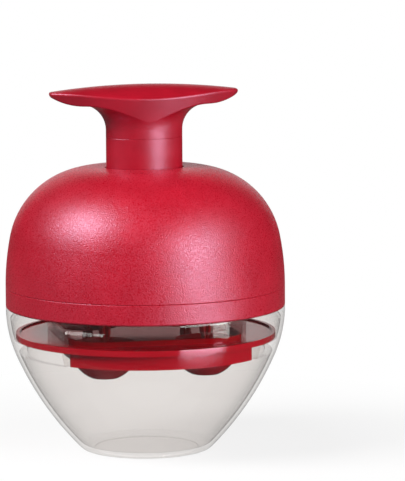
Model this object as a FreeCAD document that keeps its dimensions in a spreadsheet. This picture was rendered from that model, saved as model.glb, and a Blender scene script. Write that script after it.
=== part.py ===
import FreeCAD, Part
import math
import os
import Sketcher

# Cherry pitter: a clear pit bowl, a cherry tray, a domed lid with a splash guard, and a
# spring-returned press handle that drives four needles through four cherries at once.
# Millimetres, +Z up, origin at the centre of the bowl's foot, front of the object at -Y.
# The plunger stands half way down its stroke, as it does under the pressing hand.

DIMENSIONS = [
    ("body_radius", 60.0, "widest radius, at the lid's lower band"),
    ("rim_height", 62.1, "where the lid's lower edge meets the bowl's shoulder"),
    ("bowl_wall", 1.6, "wall of the clear bowl"),
    ("bowl_upper_arc", 52.3, "radius of the upper curve of the bowl's side"),
    ("bowl_upper_turn", 23.5, "degrees that the upper curve turns through"),
    ("bowl_lower_arc", 131.6, "radius of the lower curve of the bowl's side"),
    ("foot_toe", 3.1, "how far the foot's flat ring lies inside the end of the side curve"),
    ("foot_round", 4.6, "radius at the foot's outer edge"),
    ("foot_edge_height", 1.3, "where the side curve meets the foot rounding"),
    ("foot_ring_width", 3.2, "width of the ring that the bowl stands on"),
    ("foot_recess", 0.6, "depth of the hollow under the bowl"),
    ("floor_height", 2.6, "top of the bowl's floor"),
    ("floor_round", 3.0, "radius between the bowl's floor and side"),
    ("spigot_gap", 0.3, "gap between the bowl's spigot and the lid's band"),
    ("spigot_wall", 1.6, "wall of the bowl's spigot"),
    ("spigot_height", 4.9, "height of the bowl's spigot over its shoulder"),
    ("tray_seat_height", 48.6, "top of the bowl's ledges, under the tray"),
    ("ledge_reach", 4.6, "how far a ledge reaches in under the tray's edge"),
    ("ledge_depth", 6.0, "height of the bowl's ledges"),
    ("ledge_bite", 0.7, "how far a ledge runs into the bowl's wall"),
    ("ledge_turn", 82.0, "degrees that each ledge spans"),
    ("flange_gap", 0.77, "between the tray's edge and the bowl's wall"),
    ("flange_thickness", 1.8, "thickness of the tray's top"),
    ("lip_height", 0.7, "height of the lip round the tray"),
    ("lip_width", 1.5, "width of the lip round the tray"),
    ("skirt_gap", 1.1, "between the bottom of the tray's skirts and the bowl's wall"),
    ("skirt_wall", 1.8, "wall of the tray's skirts"),
    ("skirt_return", 7.0, "length of the skirts' turned-in ends"),
    ("skirt_corner", 2.4, "radius at the ends of the skirts"),
    ("key_gap_turn", 0.6, "degrees between a skirt's end and a ledge"),
    ("cup_circle_radius", 30.7, "from the centre to each cherry cup"),
    ("cup_radius", 13.0, "inside radius of a cherry cup"),
    ("cup_wall", 1.8, "wall of a cherry cup"),
    ("cup_rise", 1.7, "from the cup's ball centre up to the tray's top"),
    ("pit_hole_radius", 6.0, "hole in the bottom of a cup"),
    ("guard_wall", 1.5, "wall of the splash guard"),
    ("guard_gap", 0.6, "under the splash guard"),
    ("guard_tongue", 1.0, "depth of the groove that holds the guard"),
    ("rib_wall", 1.3, "wall of the tray's locating rib"),
    ("rib_height", 2.2, "height of the tray's locating rib"),
    ("rib_margin", 1.2, "from a cup's edge to the locating rib"),
    ("rib_gap", 0.45, "between the locating rib and the splash guard"),
    ("plate_gap", 0.9, "between the stripper plate and the bowl's spigot"),
    ("plate_thickness", 2.2, "thickness of the stripper plate"),
    ("band_height", 8.8, "height of the lid's lower band"),
    ("band_wall", 2.2, "wall of the lid's lower band"),
    ("band_round", 0.8, "radius at the band's lower outer edge"),
    ("shelf_thickness", 2.8, "thickness of the band's inner shelf"),
    ("shelf_margin", 3.7, "from the dome screws in to the edge of the band's shelf"),
    ("collar_height", 2.4, "height of the band's collar inside the dome"),
    ("collar_wall", 1.8, "wall of that collar"),
    ("collar_gap", 0.2, "between that collar and the dome"),
    ("seam_round", 0.35, "radius on both sides of a visible seam"),
    ("dome_wall", 2.2, "wall of the dome"),
    ("dome_side_arc", 110.0, "radius of the dome's side curve"),
    ("dome_side_turn", 11.4, "degrees that the side curve turns through"),
    ("dome_crown_arc", 36.5, "radius of the dome's shoulder curve"),
    ("boss_gap", 1.7, "between a screw boss and the band's collar"),
    ("boss_radius", 3.6, "outside of a screw boss"),
    ("boss_height", 13.0, "height of a screw boss"),
    ("boss_web", 1.6, "thickness of the web that ties a boss to the dome"),
    ("boss_web_start", 3.4, "height of a web's lower edge in the dome"),
    ("screw_radius", 1.5, "shank of a large screw"),
    ("screw_head_radius", 2.7, "head of a large screw"),
    ("screw_head_height", 1.6, "height of a large screw's head"),
    ("screw_gap", 0.05, "round a screw where it bites"),
    ("screw_clearance", 0.25, "round a screw where it passes"),
    ("dome_screw_length", 13.0, "length of a dome screw"),
    ("stem_half_width", 16.45, "half of the stem's width, along X"),
    ("stem_half_depth", 12.5, "half of the stem's depth, along Y"),
    ("stem_side_arc", 10.0, "radius of the stem's narrow sides"),
    ("stem_rise", 13.07, "from the dome's top up to the seam under the handle"),
    ("stem_gap", 0.6, "between the stem and the dome's opening"),
    ("guide_wall", 2.0, "wall of the guide under the dome's opening"),
    ("guide_height", 3.4, "height of that guide"),
    ("half_stroke", 18.0, "the plunger's travel down from here, and up again from here"),
    ("press_gap", 0.7, "left between the carrier and the needle guides when pressed"),
    ("carrier_thickness", 4.0, "thickness of the needle carrier"),
    ("carrier_disc_radius", 20.0, "middle disc of the carrier"),
    ("carrier_arm_half", 5.6, "half width of the carrier's arms"),
    ("clamp_thickness", 1.6, "thickness of the needle clamp"),
    ("hub_wall", 1.3, "wall of the carrier's spring hub"),
    ("hub_gap", 0.3, "between the spring hub and the stem's bore"),
    ("hub_play", 0.8, "round the spring in its hub"),
    ("hub_height", 13.6, "top of the spring hub over the carrier's underside"),
    ("hub_roof", 1.6, "thickness of the hub's top"),
    ("needle_radius", 2.6, "radius of a needle"),
    ("needle_blade", 1.7, "thickness of a needle's blades"),
    ("tip_depth", 1.4, "from the tray's top down to the needle's tip, half way down"),
    ("needle_taper", 5.0, "length of the needle's tapered end"),
    ("needle_point", 1.1, "radius left at the needle's tip"),
    ("needle_head_radius", 4.0, "head of a needle"),
    ("needle_head_height", 1.6, "height of a needle's head"),
    ("needle_gap", 0.08, "running gap round a needle"),
    ("bush_wall", 1.8, "wall of a needle guide"),
    ("bush_height", 5.6, "height of a needle guide over the plate"),
    ("post_gap", 0.6, "between the spring post and the spring"),
    ("post_height", 14.0, "top of the spring post over the plate"),
    ("spring_cup_depth", 7.6, "depth of the spring cup under the plate's top"),
    ("spring_cup_floor", 1.6, "thickness of the spring cup's floor"),
    ("spring_cup_wall", 1.5, "wall of the spring cup"),
    ("spring_radius", 7.4, "mean radius of the return spring"),
    ("spring_wire", 1.2, "wire of the return spring"),
    ("spring_seat_gap", 0.02, "at each end of the spring"),
    ("spring_cup_gap", 1.0, "round the spring in its cup"),
    ("spring_coil_gap", 0.45, "between the closed turns at the spring's ends"),
    ("clamp_screw_inset", 6.2, "from a needle in to its clamp screw"),
    ("small_screw_radius", 1.1, "shank of a small screw"),
    ("small_screw_head", 2.2, "head of a small screw"),
    ("small_screw_height", 1.2, "height of a small screw's head"),
    ("small_screw_length", 4.6, "length of a small screw"),
    ("handle_screw_grip", 8.0, "how far a handle screw bites into the handle"),
    ("handle_half_length", 40.2, "half of the handle's span at its edge height"),
    ("handle_half_depth", 16.0, "half of the handle's depth at its edge height"),
    ("handle_tip_radius", 4.6, "radius of the handle's tips in plan"),
    ("handle_edge_height", 17.3, "from the seam up to the handle's edge"),
    ("handle_crown", 5.2, "rise of the handle's top over its edge"),
    ("handle_crown_arc", 305.0, "radius of the handle's top along X"),
    ("handle_under_height", 14.1, "from the seam up to the wings' underside"),
    ("handle_cove", 11.0, "radius between the neck and the wings"),
    ("handle_apron_length", 13.6, "how much the apron shortens down to the seam"),
    ("handle_apron_depth", 4.6, "how much the apron narrows down to the seam"),
    ("handle_wing_flat", 0.3, "flat part of the underside between the cove and the wings"),
    ("handle_wing_arc", 24.0, "radius of the wings' rising underside"),
    ("handle_nose", 1.8, "radius of the wings' ends, seen from the front"),
    ("handle_reach", 40.6, "from the middle to the end of a wing"),
    ("handle_edge_round", 0.9, "radius along the handle's edge"),
]
TOUCH = 0.01
NEAR = 0.1
SPARE = 1.0
SPRING_TURNS = 10
SPRING_STEPS = 4
NEEDLE_COUNT = 4
LEDGE_COUNT = 2
DOME_SCREW_COUNT = 4
CLAMP_SCREW_COUNT = 4
HANDLE_SCREW_COUNT = 2
# a screw's cross recess, as shares of its head's height and radius
CROSS_DEPTH = 0.6
CROSS_LENGTH = 1.2
CROSS_WIDTH = 0.3

doc = FreeCAD.newDocument("cherry_pitter")
sheet = doc.addObject("Spreadsheet::Sheet", "dims")


class Size:
    """A size: its value now, and the sheet expression that gives it."""

    def __init__(self, value, text):
        self.value = value
        self.text = text

    def __add__(self, other):
        return Size(self.value + number(other), f"({self.text} + {words(other)})")

    def __sub__(self, other):
        return Size(self.value - number(other), f"({self.text} - {words(other)})")

    def __rsub__(self, other):
        return Size(number(other) - self.value, f"({words(other)} - {self.text})")

    def __mul__(self, other):
        return Size(self.value * number(other), f"({self.text} * {words(other)})")

    def __truediv__(self, other):
        return Size(self.value / number(other), f"({self.text} / {words(other)})")

    def __neg__(self):
        return Size(-self.value, f"(0 - {self.text})")


def number(size):
    return size.value if isinstance(size, Size) else float(size)


def words(size):
    return size.text if isinstance(size, Size) else f"{float(size):g}"


def cosine(angle):
    return Size(math.cos(math.radians(angle.value)), f"cos({angle.text} * 1 deg)")


def sine(angle):
    return Size(math.sin(math.radians(angle.value)), f"sin({angle.text} * 1 deg)")


def root(size):
    return Size(math.sqrt(size.value), f"sqrt({size.text})")


class Dimensions:
    """The driving dimensions, by name."""


dim = Dimensions()
for row, (alias, amount, meaning) in enumerate(DIMENSIONS, start=1):
    sheet.set(f"A{row}", meaning)
    sheet.set(f"B{row}", f"{amount:g}")
    sheet.setAlias(f"B{row}", alias)
    setattr(dim, alias, Size(amount, f"dims.{alias}"))
doc.recompute()

# Heights and radii that several pieces share
shoulder = dim.rim_height
seam = dim.rim_height + dim.band_height
shelf_bottom = seam - dim.shelf_thickness
plate_top = shelf_bottom
plate_bottom = plate_top - dim.plate_thickness
tray_top = dim.tray_seat_height + dim.flange_thickness
cup_centre = tray_top - dim.cup_rise
needle_tip = tray_top - dim.tip_depth
bush_top = plate_top + dim.bush_height
carrier_bottom = bush_top + dim.half_stroke + dim.press_gap
carrier_top = carrier_bottom + dim.carrier_thickness
clamp_top = carrier_top + dim.clamp_thickness
spring_floor = plate_top - dim.spring_cup_depth
spring_ceiling = carrier_bottom + dim.hub_height - dim.hub_roof

spigot_outer = dim.body_radius - dim.band_wall - dim.spigot_gap
spigot_inner = spigot_outer - dim.spigot_wall
plate_radius = spigot_inner - dim.plate_gap
collar_outer = dim.body_radius - dim.dome_wall - dim.collar_gap
collar_inner = collar_outer - dim.collar_wall
boss_circle_radius = collar_inner - dim.boss_gap - dim.boss_radius
post_radius = dim.spring_radius - dim.spring_wire / 2 - dim.post_gap
hub_pocket_radius = dim.spring_radius + dim.spring_wire / 2 + dim.hub_play
hub_radius = hub_pocket_radius + dim.hub_wall
stem_bore_radius = hub_radius + dim.hub_gap
handle_screw_offset = (dim.stem_half_width + stem_bore_radius) / 2
clamp_screw_radius = dim.cup_circle_radius - dim.clamp_screw_inset

# The dome's curve: a side arc, then a shoulder arc that ends level
dome_side_drift = dim.dome_side_arc * (1 - cosine(dim.dome_side_turn))
dome_shoulder_radius = dim.body_radius - dome_side_drift
dome_shoulder_height = seam + dim.dome_side_arc * sine(dim.dome_side_turn)
dome_crown_centre = dome_shoulder_radius - dim.dome_crown_arc * cosine(dim.dome_side_turn)
dome_crown_height = dome_shoulder_height - dim.dome_crown_arc * sine(dim.dome_side_turn)
dome_top = dome_crown_height + dim.dome_crown_arc
dome_ceiling = dome_top - dim.dome_wall
stem_top = dome_top + dim.stem_rise

# The bowl's curve: an upper arc that starts upright at the shoulder, then a flatter one
bowl_upper_centre = dim.body_radius - dim.bowl_upper_arc
bowl_lower_centre_radius = bowl_upper_centre + (
    dim.bowl_upper_arc - dim.bowl_lower_arc
) * cosine(dim.bowl_upper_turn)
bowl_lower_centre_height = shoulder - (
    dim.bowl_upper_arc - dim.bowl_lower_arc
) * sine(dim.bowl_upper_turn)

# The splash guard and the locating rib follow the cups: straight sides, round corners
corner_centre = dim.cup_circle_radius * math.sqrt(0.5)
rib_inner_round = dim.cup_radius + dim.rib_margin
rib_outer_round = rib_inner_round + dim.rib_wall
guard_inner_round = rib_outer_round + dim.rib_gap
guard_outer_round = guard_inner_round + dim.guard_wall

bowl_inner_arc = dim.bowl_upper_arc - dim.bowl_wall


def bowl_lower_side(height, inset):
    """Radius of the bowl's lower curve at a height, moved in by an inset."""
    arc = dim.bowl_lower_arc - inset
    drop = bowl_lower_centre_height - height
    return bowl_lower_centre_radius + root(arc * arc - drop * drop)


def bowl_inside(height):
    """Radius of the bowl's inner face at a height."""
    turn_height = shoulder - bowl_inner_arc * sine(dim.bowl_upper_turn)
    if number(height) < number(turn_height):
        return bowl_lower_side(height, dim.bowl_wall)
    drop = shoulder - height
    return bowl_upper_centre + root(bowl_inner_arc * bowl_inner_arc - drop * drop)


# The tray fills the bowl at the height of its seat, and its skirts hang beside the ledges
ledge_bottom = dim.tray_seat_height - dim.ledge_depth
flange_radius = bowl_inside(dim.tray_seat_height) - dim.flange_gap
ledge_inner_radius = flange_radius - dim.ledge_reach
skirt_radius = bowl_inside(ledge_bottom) - dim.skirt_gap
foot_edge_radius = bowl_lower_side(dim.foot_edge_height, 0)
foot_radius = foot_edge_radius - dim.foot_toe


def new_body(label):
    body = doc.addObject("PartDesign::Body", label)
    body.Label = label
    return body


def origin_plane(body, role):
    for feature in body.Origin.OriginFeatures:
        if feature.Role == role:
            return feature


def sketch_on(body, name, height=None, turn=0.0):
    """A sketch on a level plane at a height, turned about Z."""
    sketch = body.newObject("Sketcher::SketchObject", f"{body.Name}_{name}")
    sketch.AttachmentSupport = [(origin_plane(body, "XY_Plane"), "")]
    sketch.MapMode = "FlatFace"
    lift = number(height) if height is not None else 0.0
    turned = FreeCAD.Rotation(FreeCAD.Vector(0, 0, 1), turn)
    sketch.AttachmentOffset = FreeCAD.Placement(FreeCAD.Vector(0, 0, lift), turned)
    if isinstance(height, Size):
        sketch.setExpression("AttachmentOffset.Base.z", height.text)
    return sketch


def upright_sketch_on(body, name, turn=0.0, shift=None):
    """A sketch on an upright plane through an upright axis, which may stand off centre."""
    sketch = body.newObject("Sketcher::SketchObject", f"{body.Name}_{name}")
    sketch.AttachmentSupport = [(origin_plane(body, "XZ_Plane"), "")]
    sketch.MapMode = "FlatFace"
    across = math.cos(math.radians(turn))
    back = -math.sin(math.radians(turn))
    distance = number(shift) if shift is not None else 0.0
    base = FreeCAD.Vector(distance * across, 0, distance * back)
    turned = FreeCAD.Rotation(FreeCAD.Vector(0, 1, 0), turn)
    sketch.AttachmentOffset = FreeCAD.Placement(base, turned)
    if isinstance(shift, Size):
        sketch.setExpression("AttachmentOffset.Base.x", (shift * across).text)
        sketch.setExpression("AttachmentOffset.Base.z", (shift * back).text)
    return sketch


def bind(sketch, constraint, size):
    """Adds a constraint and ties its value to the sheet."""
    index = sketch.addConstraint(constraint)
    if isinstance(size, Size):
        name = f"size{index}"
        sketch.renameConstraint(index, name)
        sketch.setExpression(f"Constraints.{name}", size.text)


def pin(sketch, geometry, position, x, y):
    """Holds one point of a sketch at x, y."""
    for value, kind, axis in ((x, "DistanceX", -2), (y, "DistanceY", -1)):
        if number(value) == 0:
            sketch.addConstraint(Sketcher.Constraint("PointOnObject", geometry, position, axis))
        else:
            held = Sketcher.Constraint(kind, -1, 1, geometry, position, number(value))
            bind(sketch, held, value)


def arc_centre(start, end, radius, side):
    """Centre of the arc from start to end; side is 1 with the centre on the left."""
    chord = end - start
    middle = (start + end) * 0.5
    reach = math.sqrt(max(radius**2 - (chord.Length / 2) ** 2, 0))
    left = FreeCAD.Vector(-chord.y, chord.x, 0).normalize()
    return middle + left * (reach * side)


def outline(sketch, corners):
    """A closed outline. A corner is (x, y), or (x, y, radius, side) where an arc starts."""
    ends = []
    for index, corner in enumerate(corners):
        follower = corners[(index + 1) % len(corners)]
        start = FreeCAD.Vector(number(corner[0]), number(corner[1]), 0)
        end = FreeCAD.Vector(number(follower[0]), number(follower[1]), 0)
        if len(corner) == 2:
            ends.append((sketch.addGeometry(Part.LineSegment(start, end)), 1, 2))
            continue
        radius, side = corner[2], corner[3]
        centre = arc_centre(start, end, number(radius), side)
        first, last = (start, end) if side > 0 else (end, start)
        angles = [math.atan2(p.y - centre.y, p.x - centre.x) for p in (first, last)]
        circle = Part.Circle(centre, FreeCAD.Vector(0, 0, 1), number(radius))
        arc = sketch.addGeometry(Part.ArcOfCircle(circle, angles[0], angles[1]))
        ends.append((arc, 1, 2) if side > 0 else (arc, 2, 1))
        bind(sketch, Sketcher.Constraint("Radius", arc, number(radius)), radius)
    for index, (geometry, start, end) in enumerate(ends):
        follower = ends[(index + 1) % len(ends)]
        joint = Sketcher.Constraint("Coincident", geometry, end, follower[0], follower[1])
        sketch.addConstraint(joint)
        pin(sketch, geometry, start, corners[index][0], corners[index][1])


def circle(sketch, x, y, radius):
    centre = FreeCAD.Vector(number(x), number(y), 0)
    ring = Part.Circle(centre, FreeCAD.Vector(0, 0, 1), number(radius))
    geometry = sketch.addGeometry(ring)
    pin(sketch, geometry, 3, x, y)
    bind(sketch, Sketcher.Constraint("Radius", geometry, number(radius)), radius)


def rounded_square(sketch, corner):
    """A square whose round corners share their centres with the cups."""
    middle = corner_centre
    outer = corner_centre + corner
    corners = [
        (outer, -middle),
        (outer, middle, corner, 1),
        (middle, outer),
        (-middle, outer, corner, 1),
        (-outer, middle),
        (-outer, -middle, corner, 1),
        (-middle, -outer),
        (middle, -outer, corner, 1),
    ]
    outline(sketch, corners)


def oval(sketch, growth):
    """The stem's section: two wide arcs joined by two tighter ones, grown all round."""
    side = dim.stem_side_arc
    side_centre = dim.stem_half_width - side
    spread = side_centre * side_centre + dim.stem_half_depth * dim.stem_half_depth - side * side
    wide = spread / ((dim.stem_half_depth - side) * 2)
    share = (side + growth) / (wide - side)
    x = side_centre + side_centre * share
    y = (wide - dim.stem_half_depth) * share
    corners = [
        (x, -y, side + growth, 1),
        (x, y, wide + growth, 1),
        (-x, y, side + growth, 1),
        (-x, -y, wide + growth, 1),
    ]
    outline(sketch, corners)


def polygon_box(sketch, low_x, high_x, half_y):
    outline(sketch, [(low_x, -half_y), (high_x, -half_y), (high_x, half_y), (low_x, half_y)])


def revolve(body, sketch, cut=False, angle=360.0):
    kind = "PartDesign::Groove" if cut else "PartDesign::Revolution"
    feature = body.newObject(kind, f"{sketch.Name}_turned")
    feature.Profile = sketch
    feature.ReferenceAxis = (sketch, ["V_Axis"])
    feature.Angle = number(angle)
    if isinstance(angle, Size):
        feature.setExpression("Angle", angle.text)
    feature.Midplane = number(angle) < 360
    sketch.Visibility = False
    doc.recompute()
    return feature


def pad(body, sketch, length):
    feature = body.newObject("PartDesign::Pad", f"{sketch.Name}_pad")
    feature.Profile = sketch
    feature.Length = number(length)
    feature.setExpression("Length", words(length))
    doc.recompute()
    return feature


def pocket(body, sketch, length):
    """Cuts down from the sketch, and checks that something was cut."""
    before = body.Shape.Volume
    feature = body.newObject("PartDesign::Pocket", f"{sketch.Name}_pocket")
    feature.Profile = sketch
    feature.Length = number(length)
    feature.setExpression("Length", words(length))
    doc.recompute()
    if body.Shape.Volume > before - TOUCH:
        raise RuntimeError(f"{feature.Name} cuts nothing")
    return feature


def repeat(body, features, count):
    """Repeats features round the body's Z axis."""
    pattern = body.newObject("PartDesign::PolarPattern", f"{features[0].Name}_round")
    pattern.Originals = features
    pattern.Axis = (origin_plane(body, "Z_Axis"), [""])
    pattern.Angle = 360
    pattern.Occurrences = count
    body.Tip = pattern
    doc.recompute()
    return pattern


def round_edges(body, name, radius, wanted):
    """Rounds the edges of the body that a test picks out."""
    base = body.Tip
    names = [f"Edge{i}" for i, edge in enumerate(base.Shape.Edges, start=1) if wanted(edge)]
    if not names:
        raise RuntimeError(f"{body.Label} has no edge for {name}")
    fillet = body.newObject("PartDesign::Fillet", f"{body.Name}_{name}")
    fillet.Base = (base, names)
    fillet.Radius = number(radius)
    fillet.setExpression("Radius", words(radius))
    doc.recompute()
    return fillet


def round_ring(body, name, size, radius, height):
    """Rounds the full circle of a radius about Z at a height."""

    def wanted(edge):
        curve = edge.Curve
        if not isinstance(curve, Part.Circle) or len(edge.Vertexes) > 1:
            return False
        off_axis = math.hypot(curve.Center.x, curve.Center.y)
        off_height = abs(curve.Center.z - number(height))
        return max(off_axis, off_height, abs(curve.Radius - number(radius))) < TOUCH

    round_edges(body, name, size, wanted)


def make_bowl():
    body = new_body("pit_bowl")
    turn_radius = bowl_upper_centre + dim.bowl_upper_arc * cosine(dim.bowl_upper_turn)
    turn_height = shoulder - dim.bowl_upper_arc * sine(dim.bowl_upper_turn)
    inner_turn_radius = bowl_upper_centre + bowl_inner_arc * cosine(dim.bowl_upper_turn)
    inner_turn_height = shoulder - bowl_inner_arc * sine(dim.bowl_upper_turn)
    thick_height = shoulder - dim.spigot_height
    ring_inner = foot_radius - dim.foot_ring_width
    floor_radius = bowl_lower_side(dim.floor_height, dim.bowl_wall)
    profile = upright_sketch_on(body, "profile")
    corners = [
        (0, dim.foot_recess),
        (ring_inner, dim.foot_recess),
        (ring_inner, 0),
        (foot_radius, 0, dim.foot_round, 1),
        (foot_edge_radius, dim.foot_edge_height, dim.bowl_lower_arc, 1),
        (turn_radius, turn_height, dim.bowl_upper_arc, 1),
        (dim.body_radius, shoulder),
        (spigot_outer, shoulder),
        (spigot_outer, shoulder + dim.spigot_height),
        (spigot_inner, shoulder + dim.spigot_height),
        (spigot_inner, shoulder - dim.spigot_wall),
        (bowl_inside(thick_height), thick_height, bowl_inner_arc, -1),
        (inner_turn_radius, inner_turn_height, dim.bowl_lower_arc - dim.bowl_wall, -1),
        (floor_radius, dim.floor_height),
        (0, dim.floor_height),
    ]
    outline(profile, corners)
    revolve(body, profile)
    ledge = upright_sketch_on(body, "ledge")
    corners = [
        (ledge_inner_radius, ledge_bottom),
        (bowl_inside(ledge_bottom) + dim.ledge_bite, ledge_bottom),
        (bowl_inside(dim.tray_seat_height) + dim.ledge_bite, dim.tray_seat_height),
        (ledge_inner_radius, dim.tray_seat_height),
    ]
    outline(ledge, corners)
    repeat(body, [revolve(body, ledge, angle=dim.ledge_turn)], LEDGE_COUNT)
    round_ring(body, "floor_round", dim.floor_round, floor_radius, dim.floor_height)
    return body


def skirt_outline(sketch, half_turn):
    """One skirt in plan: a curved wall whose two ends turn in."""
    inner = skirt_radius - dim.skirt_wall
    end_inner = skirt_radius - dim.skirt_return
    across = sine(half_turn)
    along = cosine(half_turn)
    # the turned-in ends run beside the radius, one wall thick
    outer_x, outer_y = skirt_radius * across, skirt_radius * along
    low_x, low_y = end_inner * across, end_inner * along
    step_x, step_y = dim.skirt_wall * along, dim.skirt_wall * across
    inner_low_x, inner_low_y = low_x - step_x, low_y + step_y
    reach = root(inner * inner - dim.skirt_wall * dim.skirt_wall)
    inner_x = reach * across - step_x
    inner_y = reach * along + step_y
    corners = [
        (-outer_x, -outer_y, skirt_radius, 1),
        (outer_x, -outer_y),
        (low_x, -low_y),
        (inner_low_x, -inner_low_y),
        (inner_x, -inner_y, inner, -1),
        (-inner_x, -inner_y),
        (-inner_low_x, -inner_low_y),
        (-low_x, -low_y),
    ]
    outline(sketch, corners)


def make_tray():
    body = new_body("cherry_tray")
    lip_inner = flange_radius - dim.lip_width
    lip_top = tray_top + dim.lip_height
    profile = upright_sketch_on(body, "flange")
    corners = [
        (0, dim.tray_seat_height),
        (flange_radius, dim.tray_seat_height),
        (flange_radius, lip_top),
        (lip_inner, lip_top),
        (lip_inner, tray_top),
        (0, tray_top),
    ]
    outline(profile, corners)
    revolve(body, profile)

    half_turn = (180 - dim.ledge_turn) / 2 - dim.key_gap_turn
    skirt = sketch_on(body, "skirt", ledge_bottom)
    skirt_outline(skirt, half_turn)
    repeat(body, [pad(body, skirt, dim.ledge_depth)], LEDGE_COUNT)

    def is_skirt_end(edge):
        middle = edge.valueAt((edge.FirstParameter + edge.LastParameter) / 2)
        upright = isinstance(edge.Curve, Part.Line) and abs(edge.Curve.Direction.z) > 1 - TOUCH
        outer = math.hypot(middle.x, middle.y) > number(skirt_radius - dim.skirt_wall / 2)
        return upright and outer

    round_edges(body, "skirt_round", dim.skirt_corner, is_skirt_end)

    ball = dim.cup_radius + dim.cup_wall
    middle_height = dim.tray_seat_height + dim.flange_thickness / 2
    fall = cup_centre - middle_height
    cup = upright_sketch_on(body, "cup", 45, dim.cup_circle_radius)
    corners = [
        (0, cup_centre - ball, ball, 1),
        (root(ball * ball - fall * fall), middle_height),
        (0, middle_height),
    ]
    outline(cup, corners)
    repeat(body, [revolve(body, cup)], NEEDLE_COUNT)

    lift = lip_top - cup_centre
    hollow = upright_sketch_on(body, "hollow", 45, dim.cup_circle_radius)
    hole_drop = root(dim.cup_radius * dim.cup_radius - dim.pit_hole_radius * dim.pit_hole_radius)
    corners = [
        (0, cup_centre - ball - dim.cup_wall),
        (dim.pit_hole_radius, cup_centre - ball - dim.cup_wall),
        (dim.pit_hole_radius, cup_centre - hole_drop, dim.cup_radius, 1),
        (root(dim.cup_radius * dim.cup_radius - lift * lift), lip_top),
        (0, lip_top),
    ]
    outline(hollow, corners)
    repeat(body, [revolve(body, hollow, cut=True)], NEEDLE_COUNT)

    rib = sketch_on(body, "rib", tray_top)
    rounded_square(rib, rib_outer_round)
    rounded_square(rib, rib_inner_round)
    pad(body, rib, dim.rib_height)
    return body


def make_guard():
    body = new_body("splash_guard")
    bottom = tray_top + dim.guard_gap
    wall = sketch_on(body, "wall", bottom)
    rounded_square(wall, guard_outer_round)
    rounded_square(wall, guard_inner_round)
    pad(body, wall, plate_bottom + dim.guard_tongue - bottom)
    return body


def make_stripper():
    body = new_body("stripper_plate")
    cup_inner = dim.spring_radius + dim.spring_wire / 2 + dim.spring_cup_gap
    cup_outer = cup_inner + dim.spring_cup_wall
    cup_bottom = spring_floor - dim.spring_cup_floor
    profile = upright_sketch_on(body, "profile")
    corners = [
        (0, cup_bottom),
        (cup_outer, cup_bottom),
        (cup_outer, plate_bottom),
        (plate_radius, plate_bottom),
        (plate_radius, plate_top),
        (cup_inner, plate_top),
        (cup_inner, spring_floor),
        (post_radius, spring_floor),
        (post_radius, plate_top + dim.post_height),
        (0, plate_top + dim.post_height),
    ]
    outline(profile, corners)
    revolve(body, profile)

    bore = dim.needle_radius + dim.needle_gap
    guide = sketch_on(body, "needle_guide", plate_top, 45)
    circle(guide, dim.cup_circle_radius, 0, bore + dim.bush_wall)
    repeat(body, [pad(body, guide, dim.bush_height)], NEEDLE_COUNT)
    hole = sketch_on(body, "needle_hole", plate_top + dim.bush_height, 45)
    circle(hole, dim.cup_circle_radius, 0, bore)
    repeat(body, [pocket(body, hole, dim.bush_height + dim.plate_thickness)], NEEDLE_COUNT)

    screw_hole = sketch_on(body, "screw_hole", plate_top)
    circle(screw_hole, boss_circle_radius, 0, dim.screw_radius + dim.screw_clearance)
    repeat(body, [pocket(body, screw_hole, dim.plate_thickness)], DOME_SCREW_COUNT)

    groove = sketch_on(body, "guard_groove", plate_bottom + dim.guard_tongue)
    rounded_square(groove, guard_outer_round)
    rounded_square(groove, guard_inner_round)
    pocket(body, groove, dim.guard_tongue)
    return body


def make_band():
    body = new_body("lid_band")
    inner = dim.body_radius - dim.band_wall
    shelf_radius = boss_circle_radius - dim.shelf_margin
    profile = upright_sketch_on(body, "profile")
    corners = [
        (inner, dim.rim_height),
        (dim.body_radius, dim.rim_height),
        (dim.body_radius, seam),
        (collar_outer, seam),
        (collar_outer, seam + dim.collar_height),
        (collar_inner, seam + dim.collar_height),
        (collar_inner, seam),
        (shelf_radius, seam),
        (shelf_radius, shelf_bottom),
        (inner, shelf_bottom),
    ]
    outline(profile, corners)
    revolve(body, profile)
    hole = sketch_on(body, "screw_hole", seam)
    circle(hole, boss_circle_radius, 0, dim.screw_radius + dim.screw_clearance)
    repeat(body, [pocket(body, hole, dim.shelf_thickness)], DOME_SCREW_COUNT)
    round_ring(body, "lower_round", dim.band_round, dim.body_radius, dim.rim_height)
    round_ring(body, "seam_round", dim.seam_round, dim.body_radius, seam)
    return body


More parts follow.
